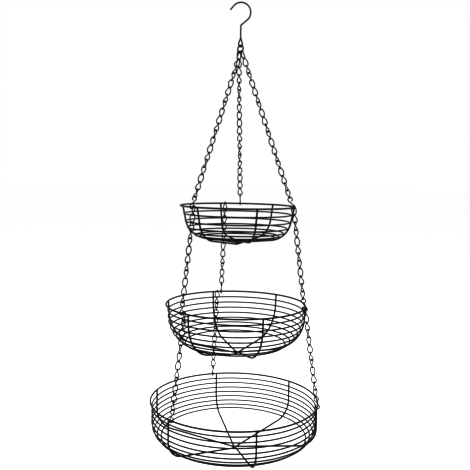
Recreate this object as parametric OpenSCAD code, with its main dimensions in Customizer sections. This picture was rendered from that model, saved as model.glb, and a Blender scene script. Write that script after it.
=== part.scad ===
// Three-tier hanging wire basket: three round wire bowls under one hook, joined by link chains.
// Millimetres, +Z up, origin on the inside of the hook's crown. Azimuths count from -Y towards +X.

/* [Hook] */
// Wire of the hook
hook_wire = 2.5; // [2:0.1:3.6]
// Radius of the hook's bend, to the middle of the wire
hook_r = 16.5; // [13:0.5:24]
// Where the bend runs into the slanted neck, below the horizontal
hook_neck_angle = 50; // [40:1:65]
// Where the bend ends at the open side, past the horizontal
hook_open_angle = 140; // [120:1:160]
// Straight tip beyond the bend
hook_tip = 8.5; // [2:0.5:15]
// Straight shank between the neck and the eye
shank_l = 20.7; // [10:0.1:40]
// Height of the drop-shaped eye, to the middle of the wire
eye_h = 15.5; // [12:0.5:24]
// Radius at the bottom of the eye, to the middle of the wire
eye_r = 4.6; // [3.8:0.1:6]
// Turn of the eye about the shank
eye_turn = 45; // [0:5:85]

/* [Gathering ring] */
// Wire of the ring that gathers the three chains
gather_wire = 2.5; // [1.8:0.1:2.8]
// Radius of the ring, to the middle of the wire
gather_r = 6.5; // [6:0.1:9]
// Spread of the three chains along the bottom of the ring
gather_spread = 34; // [30:1:45]
// Clearance along the two chains that lean where they hang on the ring
gather_gap = 0.5; // [0.4:0.05:0.6]

/* [Chain] */
// Wire of the links
chain_wire = 2; // [1.4:0.1:2.2]
// Length of one link between the middles of its two bends
link_l = 15.2; // [14:0.2:20]
// Radius of a link's upper bend, to the middle of the wire
link_top_r = 3.5; // [3.4:0.1:4.2]
// Radius of a link's lower bend, to the middle of the wire
link_low_r = 4; // [3.5:0.1:4.6]
// Turn of a link's lower bend against its upper bend
link_twist = 60; // [40:5:90]
// Gap between two links
link_gap = 0.1; // [0.1:0.05:0.2]

/* [S-hooks] */
// Wire of the S-hooks
s_wire = 2; // [1.6:0.1:2.4]
// Height of an S-hook between the middles of its two bends
s_l = 22; // [20:0.5:30]
// Radius of both bends, to the middle of the wire
s_r = 3.9; // [3.6:0.1:4.6]
// Where each bend is pinched nearly shut
s_tip_angle = 250; // [200:5:255]

/* [Levels] */
// From the crown of the hook down to the upper rim
upper_drop = 346; // [300:1:420]
// From the upper rim down to the middle rim
middle_drop = 174.5; // [150:0.5:220]
// From the middle rim down to the bottom rim
bottom_drop = 174; // [150:0.5:220]

/* [Basket wire] */
// Wire of the rims
rim_wire = 3; // [2.6:0.1:4]
// Wire of the upright ribs
rib_wire = 3; // [2:0.1:3.2]
// Wire of the rings
ring_wire = 2.5; // [1.6:0.1:2.6]
// Gap between two wires that are welded together
weld_gap = 0.05; // [0.02:0.01:0.1]
// Radius of the soft bend in the middle of each rib
base_bend = 30; // [20:1:40]
// Clearance where one wire hangs on another
hang_gap = 0.3; // [0.2:0.05:0.5]
// Clearance under a rim that a hook's bend may shift about
free_gap = 0.9; // [0.6:0.1:1.2]

/* [Upper basket] */
// Rim diameter, to the middle of the wire
upper_d = 200; // [180:1:220]
// Depth from the rim to the crossing of the ribs
upper_depth = 61; // [58:1:70]
// Inward lean of the wall
upper_lean = 12; // [5:1:20]
// Length of the straight wall
upper_side = 29; // [20:1:32]
// Radius of the corner between wall and floor
upper_corner = 38; // [34:1:46]
// Step from the rim to the first ring, along the wall
upper_pitch = 14.8; // [12:0.1:16]
// How much each further step is shorter than the one before
upper_closing = 1.2; // [0.5:0.1:1.5]
// Number of rings
upper_rings = 6; // [5:1:6]
// Azimuth of the first rib
upper_turn = 18.5; // [16:0.5:21]

/* [Middle basket] */
// Rim diameter, to the middle of the wire
middle_d = 247; // [235:1:260]
// Depth from the rim to the crossing of the ribs
middle_depth = 85; // [80:1:94]
// Inward lean of the wall
middle_lean = 3; // [2:1:8]
// Length of the straight wall
middle_side = 22; // [15:1:30]
// Radius of the corner between wall and floor
middle_corner = 60; // [50:1:70]
// Step from the rim to the first ring, along the wall
middle_pitch = 10.5; // [9:0.5:12]
// How much each further step is shorter than the one before
middle_closing = 0; // [0:0.1:0.5]
// Number of rings
middle_rings = 8; // [6:1:8]
// Azimuth of the first rib
middle_turn = 21; // [20:0.5:23]

/* [Bottom basket] */
// Rim diameter, to the middle of the wire
bottom_d = 300; // [280:1:320]
// Depth from the rim to the crossing of the ribs
bottom_depth = 86; // [78:1:94]
// Inward lean of the wall
bottom_lean = 0; // [0:1:6]
// Length of the straight wall
bottom_side = 37; // [25:1:42]
// Radius of the corner between wall and floor
bottom_corner = 35; // [30:1:45]
// Step from the rim to the first ring, along the wall
bottom_pitch = 9.5; // [8.5:0.1:10]
// How much each further step is shorter than the one before
bottom_closing = 0.05; // [0:0.05:0.2]
// Number of rings
bottom_rings = 8; // [6:1:8]
// Azimuth of the first rib
bottom_turn = 14; // [12:0.5:16]

/* [Chain places] */
// Azimuths of the upper chains' lower ends on the upper rim
upper_ends = [-49.5, 70.5, 177];
// Azimuth of the left middle chain, the other two stand 120 degrees on
middle_start = -46.5; // [-47:0.5:-46]
// Azimuth of the left lower chain, the other two stand 120 degrees on
lower_start = -43; // [-44:0.5:-42]
// Half turns of twist that each upper chain hangs with
upper_half_turns = [-5, -4, -2];
// Half turns of twist that each middle or lower chain hangs with
tier_half_turns = -2; // [-2:1:0]
// Twist of the first link of an upper chain
upper_first_twist = 0; // [0:5:90]
// Twist of the first link of a middle chain
middle_first_twist = 45; // [30:5:60]
// Twist of the first link of a lower chain, which keeps it off the middle wall
lower_first_twist = 90; // [75:5:90]

/* [Hidden] */
$fn = 48;
link_fn = 32;
ring_fn = 120;
rib_fn = 64;
wire_black = [0.05, 0.05, 0.055];
chain_black = [0.08, 0.08, 0.085];
sides = ["left", "right", "back"];
rib_count = 3;
chain_step = 120;
// A ball at a joint of two wires stands a hair proud of both
bead = 1.03;

// Heights of the hook's points and of the rims
bend_z = hook_wire / 2 - hook_r;
neck_start = [hook_r * cos(hook_neck_angle), 0, bend_z - hook_r * sin(hook_neck_angle)];
neck_end = [0, 0, neck_start.z - neck_start.x * cos(hook_neck_angle) / sin(hook_neck_angle)];
eye_top = neck_end.z - shank_l;
eye_bottom = eye_top - eye_h;
upper_z = -upper_drop;
middle_z = upper_z - middle_drop;
bottom_z = middle_z - bottom_drop;

// The eye lies along its turned X, and the gathering ring stands across it
gather_dir = [-sin(eye_turn), cos(eye_turn), 0];
gather_z = eye_bottom + (hook_wire + gather_wire) / 2 + hang_gap - gather_r;

// An S-hook's middle line reaches this far under and over the middle of the rim wire
function s_under(free) = (rim_wire + s_wire) / 2 + free;
function s_over(free) = s_l - s_under(free);

// A bowl is [rim radius, rim height, depth, lean, side, corner radius, first step, closing, turn]
upper_bowl = [upper_d / 2, upper_z, upper_depth, upper_lean, upper_side, upper_corner, upper_pitch,
    upper_closing, upper_turn];
middle_bowl = [middle_d / 2, middle_z, middle_depth, middle_lean, middle_side, middle_corner, middle_pitch,
    middle_closing, middle_turn];
bottom_bowl = [bottom_d / 2, bottom_z, bottom_depth, bottom_lean, bottom_side, bottom_corner, bottom_pitch,
    bottom_closing, bottom_turn];

// Where the straight wall ends, and the middle of the corner's arc, as [radius, height] under the rim
function side_end(bowl) = [bowl[0] - bowl[4] * sin(bowl[3]), -bowl[4] * cos(bowl[3])];
function corner_mid(bowl) = side_end(bowl) + bowl[5] * [-cos(bowl[3]), sin(bowl[3])];

// Fall of the floor that brings it to the wanted depth at the middle
function floor_fall(bowl, depth) =
    let (x = corner_mid(bowl)[0], k = depth + corner_mid(bowl)[1] - base_bend)
    acos((bowl[5] - base_bend) / norm([k, x])) - atan2(x, k);

// Slope of the wall at distance s down from the rim, from the wall's own lean on
function slope_at(bowl, s) = bowl[3] + max(0, s - bowl[4]) / bowl[5] * 180 / PI;

// Radius and height of a rib's middle line at distance s from the rim
function wall_at(bowl, s) =
    s < bowl[4] ? [bowl[0] - s * sin(bowl[3]), -s * cos(bowl[3])]
    : corner_mid(bowl) + bowl[5] * [cos(slope_at(bowl, s)), -sin(slope_at(bowl, s))];

// Radius and height of ring k, which lies inside the ribs
function ring_s(bowl, k) = k * bowl[6] - bowl[7] * k * (k - 1) / 2;
function ring_at(bowl, k) =
    let (a = slope_at(bowl, ring_s(bowl, k)))
    wall_at(bowl, ring_s(bowl, k)) + ((rib_wire + ring_wire) / 2 + weld_gap) * [-cos(a), sin(a)];

// A point on a rim and the rim's direction there
function on_rim(bowl, azimuth) = [bowl[0] * sin(azimuth), -bowl[0] * cos(azimuth), bowl[1]];
function rim_dir(azimuth) = [cos(azimuth), sin(azimuth), 0];

// A point on the bottom of the gathering ring and the ring's direction there
function on_gather(a) = gather_r * (sin(a) * gather_dir - cos(a) * [0, 0, 1]) + [0, 0, gather_z];
function gather_wire_dir(a) = cos(a) * gather_dir + sin(a) * [0, 0, 1];

// A chain hangs along its own -Z, which these two angles turn to the direction v
function lean_of(v) = acos(-v.z / norm(v));
function azimuth_of(v) = atan2(v.y, v.x);

// Angle about a chain's axis at which a wire of direction w crosses it
function phase_of(v, w) =
    let (lean = lean_of(v), az = azimuth_of(v))
    atan2(w * [-sin(az), cos(az), 0], w * [cos(lean) * cos(az), cos(lean) * sin(az), sin(lean)]);

// A straight wire between two points
module rod(p, q, d) {
    v = q - p;
    translate(p)
        rotate([0, acos(v.z / norm(v)), atan2(v.y, v.x)])
            cylinder(h = norm(v), d = d);
}

// A round ball that closes the corner between two wires
module ball(p, d) {
    translate(p)
        sphere(d = d);
}

// The same for wires that run nearly level, with the ball's poles inside them
module level_ball(p, d) {
    translate(p)
        rotate([0, 90, 0])
            sphere(d = d);
}

// An arc of wire in the XZ plane about the origin
module bend(r, d, from, sweep) {
    rotate([90, 0, 0])
        rotate_extrude(angle = sweep, start = from)
            translate([r, 0])
                circle(d = d);
}

// A closed ring of wire in the XY plane
module hoop(r, d) {
    rotate_extrude($fn = ring_fn)
        translate([r, 0])
            circle(d = d);
}

module hook() {
    open_end = hook_r * [cos(hook_open_angle), 0, sin(hook_open_angle)] + [0, 0, bend_z];
    tip_end = open_end + hook_tip * [-sin(hook_open_angle), 0, cos(hook_open_angle)];
    color(wire_black)
        union() {
            translate([0, 0, bend_z])
                bend(hook_r, hook_wire, -hook_neck_angle, hook_open_angle + hook_neck_angle);
            rod(open_end, tip_end, hook_wire);
            ball(tip_end, hook_wire);
            ball(open_end, hook_wire * bead);
            ball(neck_start, hook_wire * bead);
            rod(neck_start, neck_end, hook_wire);
            ball(neck_end, hook_wire * bead);
            rod([0, 0, eye_top], neck_end, hook_wire);
            eye();
        }
}

// The drop-shaped eye: a round bottom and two legs that meet under the shank
module eye() {
    leg_angle = asin(eye_r / (eye_h - eye_r));
    leg_end = eye_r * [cos(leg_angle), 0, sin(leg_angle)] + [0, 0, eye_bottom + eye_r];
    rotate([0, 0, eye_turn]) {
        translate([0, 0, eye_bottom + eye_r])
            bend(eye_r, hook_wire, 180 - leg_angle, 180 + 2 * leg_angle);
        ball([0, 0, eye_top], hook_wire * bead);
        for (side = [-1, 1]) {
            foot = [side * leg_end.x, 0, leg_end.z];
            rod(foot, [0, 0, eye_top], hook_wire);
            ball(foot, hook_wire * bead);
        }
    }
}

module gather_ring() {
    color(wire_black)
        translate([0, 0, gather_z])
            rotate([90, 0, eye_turn + 90])
                hoop(gather_r, gather_wire);
}

// One link: two bends turned against each other, the middle of its upper bend at the origin
module link(length, twist) {
    low = link_top_r + link_low_r - length;
    bend(link_top_r, chain_wire, 0, 180, $fn = link_fn);
    translate([0, 0, low])
        rotate([0, 0, twist])
            bend(link_low_r, chain_wire, 180, 180, $fn = link_fn);
    for (side = [-1, 1]) {
        top_end = [side * link_top_r, 0, 0];
        low_end = [side * link_low_r * cos(twist), side * link_low_r * sin(twist), low];
        rod(top_end, low_end, chain_wire);
        ball(top_end, chain_wire * bead);
        ball(low_end, chain_wire * bead);
    }
}

// A run of links that hangs on a wire at a and ends in an S-hook under a rim at b
module chain(a, a_dir, a_wire, gap, b, b_dir, free, half_turns, first_twist) {
    v = b - a;
    top = (a_wire + chain_wire) / 2 + gap;
    overlap = chain_wire + link_gap;
    reach = norm(v) + top - s_over(free) + (s_wire + chain_wire) / 2 + link_gap;
    count = round((reach - overlap) / (link_l - overlap));
    length = (reach + (count - 1) * overlap) / count;
    first = phase_of(v, a_dir) + 90;
    last = phase_of(v, b_dir);
    turn = (last - first - first_twist + 180 * half_turns) / (count - 1);
    color(chain_black)
        translate(a)
            rotate([0, -lean_of(v), azimuth_of(v)])
                for (k = [0:count - 1])
                    translate([0, 0, top - link_top_r - k * (length - overlap)])
                        rotate([0, 0, first + k * turn + (k > 0 ? first_twist - link_twist : 0)])
                            link(length, k > 0 ? link_twist : first_twist);
}

// The S-hook at the lower end of such a run, standing across the rim
module s_hook(a, b, b_dir, free) {
    v = b - a;
    half = s_l / 2 - s_r;
    // Where the straight middle leaves a bend
    lift = acos(s_r / half);
    from = lift - 90;
    low_mid = s_r - s_under(free);
    foot = s_r * [cos(from), 0, sin(from)] + [0, 0, half];
    tip = s_r * [cos(s_tip_angle), 0, sin(s_tip_angle)] + [0, 0, half];
    color(chain_black)
        translate(b)
            rotate([0, -lean_of(v), azimuth_of(v)])
                rotate([0, 0, phase_of(v, b_dir) + 90])
                    translate([0, 0, low_mid + half])
                        union() {
                            rod(-foot, foot, s_wire);
                            for (flip = [0, 180])
                                rotate([0, flip, 0]) {
                                    translate([0, 0, half])
                                        bend(s_r, s_wire, from, s_tip_angle - from);
                                    ball(foot, s_wire * bead);
                                    ball(tip, s_wire * bead);
                                }
                        }
}

// Places on the gathering ring that keep the three chains apart
function upper_spot(i) = [0, -gather_spread, gather_spread][i];
function upper_gap(i) = i == 0 ? hang_gap : gather_gap;

module upper_chain(i) {
    spot = upper_spot(i);
    chain(on_gather(spot), gather_wire_dir(spot), gather_wire, upper_gap(i), on_rim(upper_bowl, upper_ends[i]),
        rim_dir(upper_ends[i]), hang_gap, upper_half_turns[i], upper_first_twist);
}

module upper_s_hook(i) {
    s_hook(on_gather(upper_spot(i)), on_rim(upper_bowl, upper_ends[i]), rim_dir(upper_ends[i]), hang_gap);
}

// The left run carries its rim close, the other two leave it room to shift
function tier_free(i) = i == 0 ? hang_gap : free_gap;

// A chain between two rims, at one azimuth
module tier_chain(from, to, start, i, first_twist) {
    azimuth = start + i * chain_step;
    chain(on_rim(from, azimuth), rim_dir(azimuth), rim_wire, hang_gap, on_rim(to, azimuth), rim_dir(azimuth),
        tier_free(i), tier_half_turns, first_twist);
}

module tier_s_hook(from, to, start, i) {
    azimuth = start + i * chain_step;
    s_hook(on_rim(from, azimuth), on_rim(to, azimuth), rim_dir(azimuth), tier_free(i));
}

module rim(bowl) {
    color(wire_black)
        translate([0, 0, bowl[1]])
            hoop(bowl[0], rim_wire);
}

module ring(bowl, k) {
    color(wire_black)
        translate([0, 0, bowl[1] + ring_at(bowl, k)[1]])
            hoop(ring_at(bowl, k)[0], ring_wire);
}

// One rib runs from rim to rim under the bowl, each a wire's width lower than the one before
module rib(bowl, i) {
    depth = bowl[2] + i * (rib_wire + weld_gap);
    fall = floor_fall(bowl, depth);
    rib_top = [bowl[0], 0, -rim_wire / 2 - weld_gap];
    wall_end = [side_end(bowl)[0], 0, side_end(bowl)[1]];
    mid = [corner_mid(bowl)[0], 0, corner_mid(bowl)[1]];
    floor_out = mid + bowl[5] * [sin(fall), 0, -cos(fall)];
    floor_in = [base_bend * sin(fall), 0, base_bend * (1 - cos(fall)) - depth];
    color(wire_black)
        translate([0, 0, bowl[1]])
            rotate([0, 0, bowl[8] - 90 + i * 180 / rib_count])
                union() {
                    translate([0, 0, base_bend - depth])
                        bend(base_bend, rib_wire, 270 - fall, 2 * fall, $fn = rib_fn);
                    for (half = [0, 180])
                        rotate([0, 0, half]) {
                            rod(rib_top, wall_end, rib_wire);
                            ball(wall_end, rib_wire * bead);
                            translate(mid)
                                bend(bowl[5], rib_wire, fall - 90, 90 - fall - bowl[3], $fn = rib_fn);
                            level_ball(floor_out, rib_wire * bead);
                            rod(floor_out, floor_in, rib_wire);
                            level_ball(floor_in, rib_wire * bead);
                        }
                }
}

hook();
gather_ring();
rim(upper_bowl);  // upper_rim
rim(middle_bowl);  // middle_rim
rim(bottom_bowl);  // bottom_rim

for (i = [0:2]) {
    upper_chain(i);
    upper_s_hook(i);
    tier_chain(upper_bowl, middle_bowl, middle_start, i, middle_first_twist);
    tier_s_hook(upper_bowl, middle_bowl, middle_start, i);
    tier_chain(middle_bowl, bottom_bowl, lower_start, i, lower_first_twist);
    tier_s_hook(middle_bowl, bottom_bowl, lower_start, i);
}

for (i = [0:rib_count - 1]) {
    rib(upper_bowl, i);
    rib(middle_bowl, i);
    rib(bottom_bowl, i);
}

for (k = [1:upper_rings])
    ring(upper_bowl, k);
for (k = [1:middle_rings])
    ring(middle_bowl, k);
for (k = [1:bottom_rings])
    ring(bottom_bowl, k);
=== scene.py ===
"""A three-tier hanging basket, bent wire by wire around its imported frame, in a plain studio."""

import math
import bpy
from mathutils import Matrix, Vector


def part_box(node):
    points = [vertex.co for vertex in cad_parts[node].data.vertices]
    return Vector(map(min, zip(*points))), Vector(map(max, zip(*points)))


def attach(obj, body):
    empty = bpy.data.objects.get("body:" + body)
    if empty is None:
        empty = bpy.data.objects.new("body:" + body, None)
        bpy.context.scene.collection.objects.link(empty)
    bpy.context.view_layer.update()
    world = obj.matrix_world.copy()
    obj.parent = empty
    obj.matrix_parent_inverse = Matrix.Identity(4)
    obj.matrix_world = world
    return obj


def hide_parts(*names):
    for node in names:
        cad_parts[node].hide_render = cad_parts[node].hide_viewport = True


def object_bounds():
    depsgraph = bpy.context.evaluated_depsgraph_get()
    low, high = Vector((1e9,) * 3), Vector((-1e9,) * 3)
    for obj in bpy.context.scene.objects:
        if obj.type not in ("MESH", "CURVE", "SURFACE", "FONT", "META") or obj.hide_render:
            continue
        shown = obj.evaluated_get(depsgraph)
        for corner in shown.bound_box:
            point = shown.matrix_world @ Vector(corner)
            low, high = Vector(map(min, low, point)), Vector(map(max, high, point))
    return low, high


bl_info = {
    "name": "Tiered Hanging Basket",
    "version": (1, 0, 0),
    "blender": (4, 5, 0),
    "location": "3D View > Sidebar > Basket",
    "description": "Bends the wires of a three-tier hanging basket and lights them",
    "category": "Add Mesh",
}

import bmesh
import bpy
from bpy.props import FloatProperty, IntProperty, PointerProperty, StringProperty
from mathutils import Matrix, Vector

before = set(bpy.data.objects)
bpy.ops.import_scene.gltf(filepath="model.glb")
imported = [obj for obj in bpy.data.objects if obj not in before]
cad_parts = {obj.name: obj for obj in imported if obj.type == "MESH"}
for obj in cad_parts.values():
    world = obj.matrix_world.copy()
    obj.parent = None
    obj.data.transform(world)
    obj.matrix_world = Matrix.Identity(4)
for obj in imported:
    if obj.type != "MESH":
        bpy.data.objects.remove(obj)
CAD_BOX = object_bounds()

MM = 0.001
UP = Vector((0, 0, 1))
TIERS = ("upper", "middle", "bottom")
SIDES = ("left", "right", "back")
HALF_TURN = math.pi
# Where the upper chains meet the upper rim, in degrees from the front to the viewer's right
UPPER_ENDS = (-49.5, 70.5, 177)
# The upper chains' twist on their way down, in half turns
UPPER_HALF_TURNS = (-5, -4, -2)
# Degrees between the three chains that carry a lower bowl
CHAIN_STEP = 120
RIBS = 3

# Faces around a wire, and the steps of its bends
WIRE_SIDES = 12
HOOK_SIDES = 16
RIM_SIDES = 14
RING_SIDES = 10
RIM_STEPS = 180
RING_STEPS = 144
GATHER_STEPS = 48
BEND_STEP = math.radians(12)
BOW_STEP = math.radians(6)
RIB_STEP = math.radians(5)
# More than a hundred links share the model, so each has few faces
LINK_SIDES = 8
LINK_STEP = math.radians(36)
# Points closer than this are one, on a wire and where a link closes
MERGE = 0.01 * MM
LINK_MERGE = 0.05 * MM
# How far a cut end's face is inset and domed, as shares of the wire's radius
CUT_INSET = 0.45
CUT_DOME = 0.35
# A welded wire's end stops this share of the other wire's diameter short of that wire's middle
WELD_SHORT = 0.4

# Bend radii of the hook's wire at the neck and above the eye
NECK_BEND = 2.5 * MM
EYE_BEND = 1.5 * MM

# Half lengths of a weld along the rib, across it and away from it
RIM_WELD = (1.1 * MM, 2 * MM, 1.55 * MM)
RING_WELD = (1.5 * MM, 1.7 * MM, 0.75 * MM)
RIB_WELD = (0.8 * MM, 1.6 * MM, 1.6 * MM)
# A rim's weld lies this far inside the rim's middle, and this share of its wire under it
RIM_WELD_IN = 0.1 * MM
RIM_WELD_UNDER = 0.6

# Radius of the floor, and how far under the bottom bowl it lies
FLOOR_R = 30
FLOOR_DROP = 0.16
# Name, place, size and power of each soft light
LAMPS = (
    ("key_light", (-0.9, -1.3, 0.9), 0.9, 22),
    ("fill_light", (1.3, -0.9, 0.3), 1.1, 10),
    ("back_light", (0.5, 1.4, 0.9), 0.9, 12),
)
# The camera's distance in front of the axis, its side and height, its lens and its tilts
CAMERA_DISTANCE = 1.124
CAMERA_SIDE = -0.0036
CAMERA_HEIGHT = -0.29
CAMERA_FOCUS_PX = 640.3
PICTURE_PX = 470
SENSOR_MM = 36
CAMERA_PITCH = math.radians(5.45)
CAMERA_ROLL = math.radians(1.03)


def length(name, text, millimetres):
    """A size that a user may change."""
    return FloatProperty(
        name=name, description=text, default=millimetres * MM, min=0, unit="LENGTH"
    )


def turn(name, text, degrees):
    """An angle that a user may change."""
    return FloatProperty(
        name=name, description=text, default=math.radians(degrees), unit="ROTATION"
    )


class BASKET_PG_hook(bpy.types.PropertyGroup):
    """Sizes of the hook and of the ring that gathers the chains"""

    wire: length("Hook wire", "Diameter of the hook's wire", 2.5)
    bend_r: length("Bend radius", "Radius of the bow, to the middle of the wire", 16.5)
    neck: turn("Neck angle", "Where the bow runs into the neck, below the horizontal", 50)
    opening: turn("Opening angle", "Where the bow ends, past the horizontal", 140)
    tip: length("Tip", "Straight tip beyond the bow", 8.5)
    shank: length("Shank", "Straight shank between neck and eye", 20.7)
    eye_h: length("Eye height", "Height of the drop-shaped eye", 15.5)
    eye_r: length("Eye radius", "Radius at the bottom of the eye", 4.6)
    eye_turn: turn("Eye turn", "Turn of the eye about the shank", 45)
    ring_wire: length("Ring wire", "Diameter of the gathering ring's wire", 2.5)
    ring_r: length("Ring radius", "Radius of the gathering ring", 6.5)
    spread: turn("Spread", "Spread of the three chains along the ring", 34)
    gap: length("Gap", "Gap where one wire hangs on another", 0.3)
    lean_gap: length("Leaning gap", "Gap along a chain that leans where it hangs on the ring", 0.5)


class BASKET_PG_chain(bpy.types.PropertyGroup):
    """Sizes of the links and S-hooks"""

    wire: length("Link wire", "Diameter of the links' wire", 2)
    link: length("Link length", "Length of a link between the middles of its bends", 15.2)
    top_r: length("Upper bend", "Radius of a link's upper bend", 3.5)
    low_r: length("Lower bend", "Radius of a link's lower bend", 4)
    twist: turn("Twist", "Turn of a link's lower bend against its upper bend", 60)
    gap: length("Link gap", "Gap between two links", 0.1)
    s_length: length("S-hook", "Height of an S-hook between its bends", 22)
    s_r: length("S-hook radius", "Radius of an S-hook's bends", 3.9)
    s_tip: turn("S-hook tip", "Where an S-hook's bend ends", 250)
    free: length("Free gap", "Gap under a rim that may shift in its hook", 0.9)
    half_turns: IntProperty(
        name="Half turns",
        description="Twist of a middle or lower chain on its way down, in half turns",
        default=-2,
    )
    middle_start: turn("Middle chains", "Place of the left middle chain", -46.5)
    lower_start: turn("Lower chains", "Place of the left lower chain", -43)
    middle_first: turn("Middle first link", "Twist of a middle chain's first link", 45)
    lower_first: turn("Lower first link", "Twist of a lower chain's first link", 90)


class BASKET_PG_bowl(bpy.types.PropertyGroup):
    """Sizes of one bowl"""

    rings: IntProperty(name="Rings", description="Number of rings under the rim", default=6)
    lean: turn("Lean", "Inward lean of the straight wall", 0)
    corner: length("Corner", "Radius of the corner between wall and floor", 38)
    side: length("Side", "Length of the straight wall", 29)
    depth: length("Depth", "Depth from the rim to the crossing of the ribs", 61)
    first: turn("First rib", "Place of the first rib", 18.5)


class BASKET_PG_wires(bpy.types.PropertyGroup):
    """Wires and finish of the bowls"""

    rim: length("Rim wire", "Diameter of the rims' wire", 3)
    rib: length("Rib wire", "Diameter of the ribs' wire", 3)
    ring: length("Ring wire", "Diameter of the rings' wire", 2.5)
    base_bend: length("Base bend", "Radius of the soft bend in the middle of each rib", 30)
    gap: length("Weld gap", "Gap between two wires that a weld closes", 0.05)
    coat: StringProperty(
        name="Powder coat", description="Colour of the bowls' powder coat", default="#0E0E0F"
    )
    paint: StringProperty(
        name="Chain paint", description="Colour of the chains' paint", default="#101011"
    )


GROUPS = {
    "basket_hook": BASKET_PG_hook,
    "basket_chain": BASKET_PG_chain,
    "basket_wires": BASKET_PG_wires,
    "basket_upper": BASKET_PG_bowl,
    "basket_middle": BASKET_PG_bowl,
    "basket_bottom": BASKET_PG_bowl,
}
# Rings, lean, corner radius, side, depth and first rib of each bowl, in millimetres and degrees
BOWLS = {
    "upper": (6, 12, 38, 29, 61, 18.5),
    "middle": (8, 3, 60, 22, 85, 21),
    "bottom": (8, 0, 35, 37, 86, 14),
}


def sizes(name):
    """The property group of that name."""
    return getattr(bpy.context.scene, "basket_" + name)


def linear(code):
    """A linear colour from an sRGB hex value."""
    parts = [int(code[i : i + 2], 16) / 255 for i in (1, 3, 5)]
    return [c / 12.92 if c <= 0.04045 else ((c + 0.055) / 1.055) ** 2.4 for c in parts] + [1]


def add_node(tree, kind, links=None, **settings):
    """Adds a node, sets its attributes and input values and links its inputs."""
    node = tree.nodes.new(kind)
    for key, value in settings.items():
        if hasattr(node, key):
            setattr(node, key, value)
        else:
            node.inputs[key.replace("_", " ")].default_value = value
    for socket, source in (links or {}).items():
        tree.links.new(source, node.inputs[socket])
    return node


def coated_steel(name, code, roughness, grain_mm, depth_mm, gloss):
    """A coated steel whose surface and sheen are finely uneven at the given grain."""
    material = bpy.data.materials.get(name)
    if material:
        return material
    material = bpy.data.materials.new(name)
    material.use_nodes = True
    tree = material.node_tree
    tree.nodes.clear()
    place = add_node(tree, "ShaderNodeTexCoord")
    grain = add_node(
        tree,
        "ShaderNodeTexNoise",
        {"Vector": place.outputs["Object"]},
        Scale=1 / (grain_mm * MM),
        Detail=3.0,
        Roughness=0.55,
    )
    bump = add_node(
        tree,
        "ShaderNodeBump",
        {"Height": grain.outputs["Fac"]},
        Strength=0.35,
        Distance=depth_mm * MM,
    )
    dull = add_node(
        tree,
        "ShaderNodeMapRange",
        {"Value": grain.outputs["Fac"]},
        **{"To_Min": roughness - 0.05, "To_Max": roughness + 0.07},
    )
    shader = add_node(
        tree,
        "ShaderNodeBsdfPrincipled",
        {"Normal": bump.outputs["Normal"], "Roughness": dull.outputs["Result"]},
    )
    shader.inputs["Base Color"].default_value = linear(code)
    shader.inputs["IOR"].default_value = 1.5
    shader.inputs["Specular IOR Level"].default_value = gloss
    add_node(tree, "ShaderNodeOutputMaterial", {"Surface": shader.outputs["BSDF"]})
    return material


def powder_coat():
    """The satin black finish of the hook, the gathering ring and the bowls."""
    # Polyester powder, baked on steel wire: satin, with an orange peel that breaks up highlights
    return coated_steel("satin_powder_coat", sizes("wires").coat, 0.42, 1.2, 0.05, 0.32)


def dipped_paint():
    """The black paint that the chains and S-hooks are dipped in."""
    # Thinner and glossier than powder, so the wire's bends catch small bright lines
    return coated_steel("dipped_black_paint", sizes("wires").paint, 0.32, 0.8, 0.03, 0.4)


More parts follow.
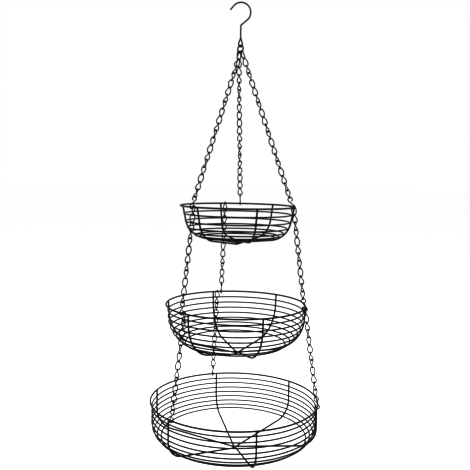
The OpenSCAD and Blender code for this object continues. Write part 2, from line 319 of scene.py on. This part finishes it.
class Wire:
    """A round wire that is bent step by step, as a wire former bends it."""

    def __init__(self, diameter, start, heading, sides=WIRE_SIDES):
        self.bm = bmesh.new()
        self.at = Vector(start)
        self.radius = diameter / 2
        facing = Vector(heading).to_track_quat("Z", "Y").to_matrix().to_4x4()
        place = Matrix.Translation(self.at) @ facing
        made = bmesh.ops.create_circle(self.bm, segments=sides, radius=self.radius, matrix=place)
        self.verts = made["verts"]
        self.edges = list({e for v in self.verts for e in v.link_edges})

    def straight(self, to, steps=1):
        """Runs on to a point in a straight line."""
        to = Vector(to)
        stride = (to - self.at) / steps
        for _ in range(steps):
            made = bmesh.ops.extrude_edge_only(self.bm, edges=self.edges)["geom"]
            self._take(made)
            bmesh.ops.translate(self.bm, verts=self.verts, vec=stride)
        self.at = to

    def arc(self, centre, axis, angle, step=BEND_STEP):
        """Bends about an axis through a centre."""
        centre = Vector(centre)
        axis = Vector(axis).normalized()
        steps = max(2, math.ceil(abs(angle) / step))
        made = bmesh.ops.spin(
            self.bm,
            geom=self.verts + self.edges,
            cent=centre,
            axis=axis,
            dvec=(0, 0, 0),
            angle=angle,
            steps=steps,
        )
        self._take(made["geom_last"])
        self.at = centre + Matrix.Rotation(angle, 3, axis) @ (self.at - centre)
        middle = sum((v.co for v in self.verts), Vector()) / len(self.verts)
        if (middle - self.at).length > self.radius / 10:
            raise RuntimeError("a bend ended away from where it should")

    def through(self, points, radii, step=BEND_STEP):
        """Follows a line of points, with a round bend of the given radius at each but the last."""
        for point, radius, after in zip(points[:-1], radii, points[1:]):
            point = Vector(point)
            into = (point - self.at).normalized()
            out = (Vector(after) - point).normalized()
            angle = into.angle(out)
            cut = radius * math.tan(angle / 2)
            self.straight(point - into * cut)
            axis = into.cross(out).normalized()
            self.arc(self.at + axis.cross(into) * radius, axis, angle, step)
        self.straight(points[-1])

    def round_end(self):
        """Closes the wire's open ends with a slightly domed cut."""
        bmesh.ops.holes_fill(self.bm, edges=[e for e in self.bm.edges if e.is_boundary], sides=0)
        bmesh.ops.recalc_face_normals(self.bm, faces=self.bm.faces)
        caps = [f for f in self.bm.faces if len(f.verts) > 4]
        bmesh.ops.inset_region(
            self.bm, faces=caps, thickness=self.radius * CUT_INSET, depth=self.radius * CUT_DOME
        )

    def _take(self, geom):
        """Keeps the new open end of the wire."""
        ends = {g for g in geom if isinstance(g, bmesh.types.BMVert)}
        edges = [g for g in geom if isinstance(g, bmesh.types.BMEdge)]
        self.verts = list(ends)
        self.edges = [e for e in edges if ends.issuperset(e.verts)]


def finish_piece(name, bm, body, material, replaces=(), merge=True):
    """Makes an object of a bmesh, on its body and in its material slot."""
    if merge:
        bmesh.ops.remove_doubles(bm, verts=bm.verts, dist=MERGE)
    bmesh.ops.recalc_face_normals(bm, faces=bm.faces)
    for face in bm.faces:
        face.smooth = True
    mesh = bpy.data.meshes.new(name)
    bm.to_mesh(mesh)
    bm.free()
    mesh.materials.append(material)
    piece = bpy.data.objects.new(name, mesh)
    bpy.context.scene.collection.objects.link(piece)
    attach(piece, body)
    if replaces:
        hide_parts(*replaces)
    return piece


def box_of(node):
    """Lowest and highest corner of a node, as vectors."""
    low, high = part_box(node)
    return Vector(low), Vector(high)


def ring_of(node, wire):
    """Radius and height of a round ring's middle line, read from the frame."""
    low, high = box_of(node)
    return (high.x - low.x + high.y - low.y) / 4 - wire / 2, (low.z + high.z) / 2


def hoop(radius, height, wire, steps, sides):
    """A closed round ring of wire about Z."""
    form = Wire(wire, (radius, 0, height), (0, 1, 0), sides)
    bmesh.ops.spin(
        form.bm,
        geom=form.verts + form.edges,
        cent=(0, 0, height),
        axis=UP,
        angle=2 * math.pi,
        steps=steps,
        use_merge=True,
    )
    return form.bm


def around(azimuth, radius, height):
    """A point at an azimuth that counts from the front towards the viewer's right."""
    return Vector((radius * math.sin(azimuth), -radius * math.cos(azimuth), height))


def body_of_tier(tier):
    """Name of the body that a bowl belongs to."""
    return tier + "_tier"


class Bowl:
    """One bowl's outline, worked out from its sizes and its rim in the frame."""

    def __init__(self, tier):
        self.tier = tier
        self.s = sizes(tier)
        self.wires = sizes("wires")
        self.r, self.z = ring_of(tier + "_rim", self.wires.rim)
        lean = Vector((math.cos(self.s.lean), math.sin(self.s.lean)))
        self.side_end = Vector((self.r - self.s.side * lean.y, -self.s.side * lean.x))
        self.corner = self.side_end + self.s.corner * Vector((-lean.x, lean.y))

    def fall(self, depth):
        """Slope of a rib's floor, which touches the corner's bend and the one in the middle."""
        x, y = self.corner.x, depth + self.corner.y - self.wires.base_bend
        reach = (self.s.corner - self.wires.base_bend) / math.hypot(y, x)
        return math.acos(reach) - math.atan2(x, y)

    def rib_points(self, depth):
        """Where a rib's straight lines would meet: at its corner and in the middle."""
        fall = self.fall(depth)
        wall = Vector((-math.sin(self.s.lean), -math.cos(self.s.lean)))
        floor = Vector((math.cos(fall), math.sin(fall)))
        low = Vector((0, self.wires.base_bend - depth - self.wires.base_bend / math.cos(fall)))
        away = low - Vector((self.r, 0))
        knee = Vector((self.r, 0)) + wall * (away.cross(floor) / wall.cross(floor))
        return knee, low

    def slope(self, radius, height):
        """Slope of the wall at a ring."""
        if height > self.side_end.y:
            return self.s.lean
        return math.atan2(self.corner.y - height, radius - self.corner.x)

    def rib_turns(self):
        """Azimuths of the ribs' six upper ends."""
        return [self.s.first + i * math.pi / RIBS for i in range(2 * RIBS)]


def bend_rib(bowl, i):
    """One rib from rim to rim under the bowl."""
    wires = bowl.wires
    knee, low = bowl.rib_points(bowl.s.depth + i * (wires.rib + wires.gap))
    turned = Matrix.Translation((0, 0, bowl.z)) @ Matrix.Rotation(
        bowl.s.first - math.pi / 2 + i * math.pi / RIBS, 4, "Z"
    )
    wall = Vector((-math.sin(bowl.s.lean), 0, -math.cos(bowl.s.lean)))
    start = Vector((bowl.r, 0, 0)) + wall * wires.rim * WELD_SHORT
    form = Wire(wires.rib, start, wall)
    points = [(knee.x, 0, knee.y), (0, 0, low.y), (-knee.x, 0, knee.y), (-start.x, 0, start.z)]
    form.through(points, (bowl.s.corner, wires.base_bend, bowl.s.corner), RIB_STEP)
    form.round_end()
    bmesh.ops.transform(form.bm, matrix=turned, verts=form.bm.verts)
    return form.bm


def weld_beads(bowl):
    """The small welds where rings, rim and ribs touch."""
    bm = bmesh.new()
    wires = bowl.wires

    def bead(azimuth, radius, height, slope, size):
        along, across, thick = size
        place = (
            Matrix.Translation((0, 0, bowl.z))
            @ Matrix.Rotation(azimuth - math.pi / 2, 4, "Z")
            @ Matrix.Translation((radius, 0, height))
            @ Matrix.Rotation(slope, 4, "Y")
            @ Matrix.Diagonal((thick, across, along, 1))
        )
        bmesh.ops.create_uvsphere(bm, u_segments=8, v_segments=6, radius=1, matrix=place)

    for azimuth in bowl.rib_turns():
        bead(azimuth, bowl.r - RIM_WELD_IN, -wires.rim * RIM_WELD_UNDER, 0, RIM_WELD)
        for k in range(1, bowl.s.rings + 1):
            radius, height = ring_of(f"{bowl.tier}_ring_{k}", wires.ring)
            height -= bowl.z
            slope = bowl.slope(radius, height)
            radius += wires.ring / 2 * math.cos(slope)
            height -= wires.ring / 2 * math.sin(slope)
            bead(azimuth, radius, height, slope, RING_WELD)
    for i in range(RIBS - 1):
        depth = bowl.s.depth + (i + 0.5) * (wires.rib + wires.gap)
        bead(bowl.s.first, 0, -depth, 0, RIB_WELD)
    return bm


def gather_height():
    """Height of the gathering ring's middle."""
    low, high = box_of("gather_ring")
    return (low.z + high.z) / 2


def on_gather(angle):
    """A point on the gathering ring's bottom and the wire's direction there."""
    s = sizes("hook")
    across = Vector((-math.sin(s.eye_turn), math.cos(s.eye_turn), 0))
    outward = math.sin(angle) * across - math.cos(angle) * UP
    along = math.cos(angle) * across + math.sin(angle) * UP
    return s.ring_r * outward + gather_height() * UP, along


def on_rim(tier, azimuth):
    """A point on a rim and the wire's direction there."""
    radius, height = ring_of(tier + "_rim", sizes("wires").rim)
    return around(azimuth, radius, height), Vector((math.cos(azimuth), math.sin(azimuth), 0))


class Run:
    """A chain's place between the wire it hangs on and the rim it carries."""

    def __init__(self, start, start_wire, gap, end, half_turns, first_twist, free):
        s = sizes("chain")
        (a, a_dir), (b, b_dir) = start, end
        v = b - a
        lean = math.acos(-v.z / v.length)
        azimuth = math.atan2(v.y, v.x)
        turned = Matrix.Rotation(azimuth, 4, "Z") @ Matrix.Rotation(-lean, 4, "Y")
        self.place = Matrix.Translation(a) @ turned
        self.top = (start_wire + s.wire) / 2 + gap
        self.under = (sizes("wires").rim + s.wire) / 2 + free
        overlap = s.wire + s.gap
        reach = v.length + self.top - (s.s_length - self.under) + s.wire + s.gap
        self.count = round((reach - overlap) / (s.link - overlap))
        self.link = (reach + (self.count - 1) * overlap) / self.count
        self.pitch = self.link - overlap
        self.first = self.phase(a_dir) + math.pi / 2
        self.last = self.phase(b_dir)
        self.first_twist = first_twist
        turn_left = self.last - self.first - first_twist + half_turns * HALF_TURN
        self.step = turn_left / (self.count - 1)
        self.span = v.length

    def phase(self, direction):
        """Angle about the chain's axis at which a wire crosses it."""
        local = self.place.to_3x3().transposed() @ direction
        return math.atan2(local.y, local.x)

    def link_place(self, k):
        """Place of link k, and its twist."""
        s = sizes("chain")
        lag = self.first_twist - s.twist if k else 0
        angle = self.first + k * self.step + lag
        down = Matrix.Translation((0, 0, self.top - s.top_r - k * self.pitch))
        turned = self.place @ down @ Matrix.Rotation(angle, 4, "Z")
        return turned, s.twist if k else self.first_twist

    def hook_place(self):
        """Place of the S-hook's middle."""
        s = sizes("chain")
        lift = s.s_length / 2 - self.under
        return (
            self.place
            @ Matrix.Translation((0, 0, lift - self.span))
            @ Matrix.Rotation(self.last + math.pi / 2, 4, "Z")
        )


def bend_link(bm, run, k):
    """One closed link: bent flat, then twisted between its bends."""
    s = sizes("chain")
    place, twist = run.link_place(k)
    leg = run.link - s.top_r - s.low_r
    form = Wire(s.wire, (s.top_r, 0, 0), (0, 0, 1), LINK_SIDES)
    form.arc((0, 0, 0), (0, -1, 0), math.pi, LINK_STEP)
    form.straight((-s.low_r, 0, -leg), 2)
    form.arc((0, 0, -leg), (0, -1, 0), math.pi, LINK_STEP)
    form.straight((s.top_r, 0, 0), 2)
    bmesh.ops.remove_doubles(form.bm, verts=form.bm.verts, dist=LINK_MERGE)
    for vert in form.bm.verts:
        t = min(1, max(0, -vert.co.z / leg))
        chord = Vector((1 - t + t * math.cos(twist), t * math.sin(twist)))
        middle = s.top_r + (s.low_r - s.top_r) * t
        vert.co.x += math.copysign((chord.length - 1) * middle, vert.co.x)
        vert.co = Matrix.Rotation(math.atan2(chord.y, chord.x), 3, "Z") @ vert.co
    bmesh.ops.transform(form.bm, matrix=place, verts=form.bm.verts)
    joined = bpy.data.meshes.new("link")
    form.bm.to_mesh(joined)
    form.bm.free()
    bm.from_mesh(joined)
    bpy.data.meshes.remove(joined)


def bend_s_hook(run):
    """An S-hook with both bends pinched nearly shut."""
    s = sizes("chain")
    half = s.s_length / 2 - s.s_r
    away = math.acos(s.s_r / half) - math.pi / 2
    tip = s.s_r * Vector((math.cos(s.s_tip), 0, math.sin(s.s_tip))) + half * UP
    heading = Vector((math.sin(s.s_tip), 0, -math.cos(s.s_tip)))
    form = Wire(s.wire, tip, heading)
    bend = s.s_tip - away
    form.arc(half * UP, (0, 1, 0), bend)
    foot = -form.at
    form.straight(foot, 2)
    form.arc(-half * UP, (0, -1, 0), bend)
    form.round_end()
    bmesh.ops.transform(form.bm, matrix=run.hook_place(), verts=form.bm.verts)
    return form.bm


def hang_run(name, hook_name, body, run):
    """Makes one chain and its S-hook."""
    bm = bmesh.new()
    for k in range(run.count):
        bend_link(bm, run, k)
    finish_piece(name + "_links", bm, body, dipped_paint(), [name], merge=False)
    finish_piece(hook_name + "_wire", bend_s_hook(run), body, dipped_paint(), [hook_name])


class BASKET_OT_hook(bpy.types.Operator):
    """Bends the hook: bow, neck, shank and drop-shaped eye from one wire"""

    bl_idname = "basket.hook"
    bl_label = "Hook"

    def execute(self, context):
        s = sizes("hook")
        middle = Vector((0, 0, s.wire / 2 - s.bend_r))

        def bow(angle):
            return middle + s.bend_r * Vector((math.cos(angle), 0, math.sin(angle)))

        open_end = bow(s.opening)
        tip = open_end + s.tip * Vector((-math.sin(s.opening), 0, math.cos(s.opening)))
        form = Wire(s.wire, tip, open_end - tip, HOOK_SIDES)
        form.straight(open_end)
        form.arc(middle, (0, 1, 0), s.opening + s.neck, BOW_STEP)
        neck_end = Vector((0, 0, form.at.z - form.at.x / math.tan(s.neck)))
        eye_top = neck_end.z - s.shank
        eye_mid = Vector((0, 0, eye_top - s.eye_h + s.eye_r))
        along = Vector((math.cos(s.eye_turn), math.sin(s.eye_turn), 0))
        leg = math.asin(s.eye_r / (s.eye_h - s.eye_r))
        foot = s.eye_r * (math.cos(leg) * along + math.sin(leg) * UP) + eye_mid
        form.through([neck_end, (0, 0, eye_top), foot], (NECK_BEND, EYE_BEND))
        form.arc(eye_mid, UP.cross(along), math.pi + 2 * leg)
        form.straight((0, 0, eye_top - WELD_SHORT * s.wire))
        form.round_end()
        finish_piece("hook_wire", form.bm, "hook", powder_coat(), ["hook"])
        return {"FINISHED"}


class BASKET_OT_gather_ring(bpy.types.Operator):
    """Bends the ring that gathers the three upper chains"""

    bl_idname = "basket.gather_ring"
    bl_label = "Gathering ring"

    def execute(self, context):
        s = sizes("hook")
        bm = hoop(s.ring_r, 0, s.ring_wire, GATHER_STEPS, HOOK_SIDES)
        place = (
            Matrix.Translation((0, 0, gather_height()))
            @ Matrix.Rotation(s.eye_turn + math.pi / 2, 4, "Z")
            @ Matrix.Rotation(math.pi / 2, 4, "X")
        )
        bmesh.ops.transform(bm, matrix=place, verts=bm.verts)
        finish_piece("gather_ring_wire", bm, "gather_ring", powder_coat(), ["gather_ring"])
        return {"FINISHED"}


class BASKET_OT_upper_chains(bpy.types.Operator):
    """Hangs the three upper chains from the gathering ring to the upper rim"""

    bl_idname = "basket.upper_chains"
    bl_label = "Upper chains"

    def execute(self, context):
        s = sizes("hook")
        spots = (0, -s.spread, s.spread)
        for side, spot, end, half_turns in zip(SIDES, spots, UPPER_ENDS, UPPER_HALF_TURNS):
            rim = on_rim("upper", math.radians(end))
            gap = s.lean_gap if spot else s.gap
            run = Run(on_gather(spot), s.ring_wire, gap, rim, half_turns, 0, s.gap)
            hang_run("upper_chain_" + side, "upper_s_hook_" + side, "upper_tier", run)
        return {"FINISHED"}


class BASKET_OT_tier_chains(bpy.types.Operator):
    """Hangs the middle and lower chains from rim to rim"""

    bl_idname = "basket.tier_chains"
    bl_label = "Middle and lower chains"

    def execute(self, context):
        s = sizes("chain")
        rim_wire = sizes("wires").rim
        tiers = (
            ("middle", "upper", "middle", s.middle_start, s.middle_first),
            ("lower", "middle", "bottom", s.lower_start, s.lower_first),
        )
        for name, above, below, start, first_twist in tiers:
            for i, side in enumerate(SIDES):
                azimuth = start + math.radians(i * CHAIN_STEP)
                gap = sizes("hook").gap
                free = s.free if i else gap
                start_at, end_at = on_rim(above, azimuth), on_rim(below, azimuth)
                run = Run(start_at, rim_wire, gap, end_at, s.half_turns, first_twist, free)
                body = f"{name}_chain_{side}"
                hang_run(body, f"{name}_s_hook_{side}", body, run)
        return {"FINISHED"}


class BASKET_OT_bowls(bpy.types.Operator):
    """Makes the three bowls: rims, rings, ribs and welds"""

    bl_idname = "basket.bowls"
    bl_label = "Bowls"

    def execute(self, context):
        wires = sizes("wires")
        for tier in TIERS:
            bowl = Bowl(tier)
            body = body_of_tier(tier)
            rim = hoop(bowl.r, bowl.z, wires.rim, RIM_STEPS, RIM_SIDES)
            finish_piece(tier + "_rim_wire", rim, body, powder_coat(), [tier + "_rim"])
            for k in range(1, bowl.s.rings + 1):
                node = f"{tier}_ring_{k}"
                radius, height = ring_of(node, wires.ring)
                ring = hoop(radius, height, wires.ring, RING_STEPS, RING_SIDES)
                finish_piece(node + "_wire", ring, body, powder_coat(), [node])
            for i in range(RIBS):
                node = f"{tier}_rib_{i + 1}"
                rib = bend_rib(bowl, i)
                finish_piece(node + "_wire", rib, body, powder_coat(), [node])
            welds = weld_beads(bowl)
            finish_piece(tier + "_welds", welds, body, powder_coat(), merge=False)
        return {"FINISHED"}


class BASKET_OT_stage(bpy.types.Operator):
    """Sets the floor, the soft lights and the camera"""

    bl_idname = "basket.stage"
    bl_label = "Stage"

    def execute(self, context):
        floor_mesh = bpy.data.meshes.new("floor")
        bm = bmesh.new()
        bmesh.ops.create_circle(bm, cap_ends=True, segments=64, radius=FLOOR_R)
        bmesh.ops.translate(bm, verts=bm.verts, vec=(0, 0, CAD_BOX[0][2] - FLOOR_DROP))
        bm.to_mesh(floor_mesh)
        bm.free()
        floor = bpy.data.objects.new("floor", floor_mesh)
        floor_mesh.materials.append(paper_white())
        context.scene.collection.objects.link(floor)
        lamps = [soft_light(context, *lamp) for lamp in LAMPS]
        world = bpy.data.worlds.new("studio_air")
        world.use_nodes = True
        air = world.node_tree.nodes["Background"]
        air.inputs["Color"].default_value = linear("#FFFFFF")
        air.inputs["Strength"].default_value = 1.0
        context.scene.world = world
        context.scene.view_settings.view_transform = "Standard"
        # The photograph's contrast is high, so its thin wires are nearly black
        context.scene.view_settings.gamma = 0.55
        place_camera(context)
        return {"FINISHED"}


def paper_white():
    """Matt white paper: an even pale ground."""
    material = bpy.data.materials.new("matt_white_paper")
    material.use_nodes = True
    shader = material.node_tree.nodes["Principled BSDF"]
    shader.inputs["Base Color"].default_value = linear("#FEFEFE")
    shader.inputs["Roughness"].default_value = 1.0
    shader.inputs["Specular IOR Level"].default_value = 0.0
    return material


def soft_light(context, name, place, size, power):
    """A square soft box that faces the basket's middle."""
    lamp = bpy.data.lights.new(name, "AREA")
    lamp.size = size
    lamp.energy = power
    holder = bpy.data.objects.new(name, lamp)
    context.scene.collection.objects.link(holder)
    middle = (Vector(CAD_BOX[0]) + Vector(CAD_BOX[1])) / 2
    facing = (middle - Vector(place)).to_track_quat("-Z", "Y").to_matrix().to_4x4()
    holder.matrix_world = Matrix.Translation(place) @ facing
    return holder


def place_camera(context):
    """Sets the camera at the photograph's height, distance and slight lean."""
    lens = bpy.data.cameras.new("camera")
    lens.sensor_width = SENSOR_MM
    lens.lens = CAMERA_FOCUS_PX / PICTURE_PX * SENSOR_MM
    camera = bpy.data.objects.new("camera", lens)
    context.scene.collection.objects.link(camera)
    aim = Matrix.Rotation(math.pi / 2 - CAMERA_PITCH, 4, "X") @ Matrix.Rotation(CAMERA_ROLL, 4, "Z")
    camera.matrix_world = Matrix.Translation((CAMERA_SIDE, -CAMERA_DISTANCE, CAMERA_HEIGHT)) @ aim
    context.scene.camera = camera


STEPS = (
    BASKET_OT_hook,
    BASKET_OT_gather_ring,
    BASKET_OT_upper_chains,
    BASKET_OT_tier_chains,
    BASKET_OT_bowls,
    BASKET_OT_stage,
)


class BASKET_PT_panel(bpy.types.Panel):
    """Lists the steps that build the basket"""

    bl_idname = "BASKET_PT_panel"
    bl_label = "Hanging basket"
    bl_space_type = "VIEW_3D"
    bl_region_type = "UI"
    bl_category = "Basket"

    def draw(self, context):
        for step in STEPS:
            self.layout.operator(step.bl_idname)
        for group in GROUPS:
            box = self.layout.box()
            values = getattr(context.scene, group)
            for name in values.__annotations__:
                box.prop(values, name)


SIZE_GROUPS = (BASKET_PG_hook, BASKET_PG_chain, BASKET_PG_bowl, BASKET_PG_wires)
CLASSES = SIZE_GROUPS + STEPS + (BASKET_PT_panel,)


def register():
    for cls in CLASSES:
        bpy.utils.register_class(cls)
    for name, group in GROUPS.items():
        setattr(bpy.types.Scene, name, PointerProperty(type=group))


def unregister():
    for name in GROUPS:
        delattr(bpy.types.Scene, name)
    for cls in reversed(CLASSES):
        bpy.utils.unregister_class(cls)


def set_bowls(scene):
    """Gives each bowl's group its own sizes."""
    for tier, (rings, lean, corner, side, depth, first) in BOWLS.items():
        bowl = getattr(scene, "basket_" + tier)
        bowl.rings = rings
        bowl.lean = math.radians(lean)
        bowl.corner = corner * MM
        bowl.side = side * MM
        bowl.depth = depth * MM
        bowl.first = math.radians(first)


def main():
    """Builds the whole basket and its studio."""
    register()
    set_bowls(bpy.context.scene)
    for step in STEPS:
        group, name = step.bl_idname.split(".")
        getattr(getattr(bpy.ops, group), name)()


if __name__ == "__main__":
    main()
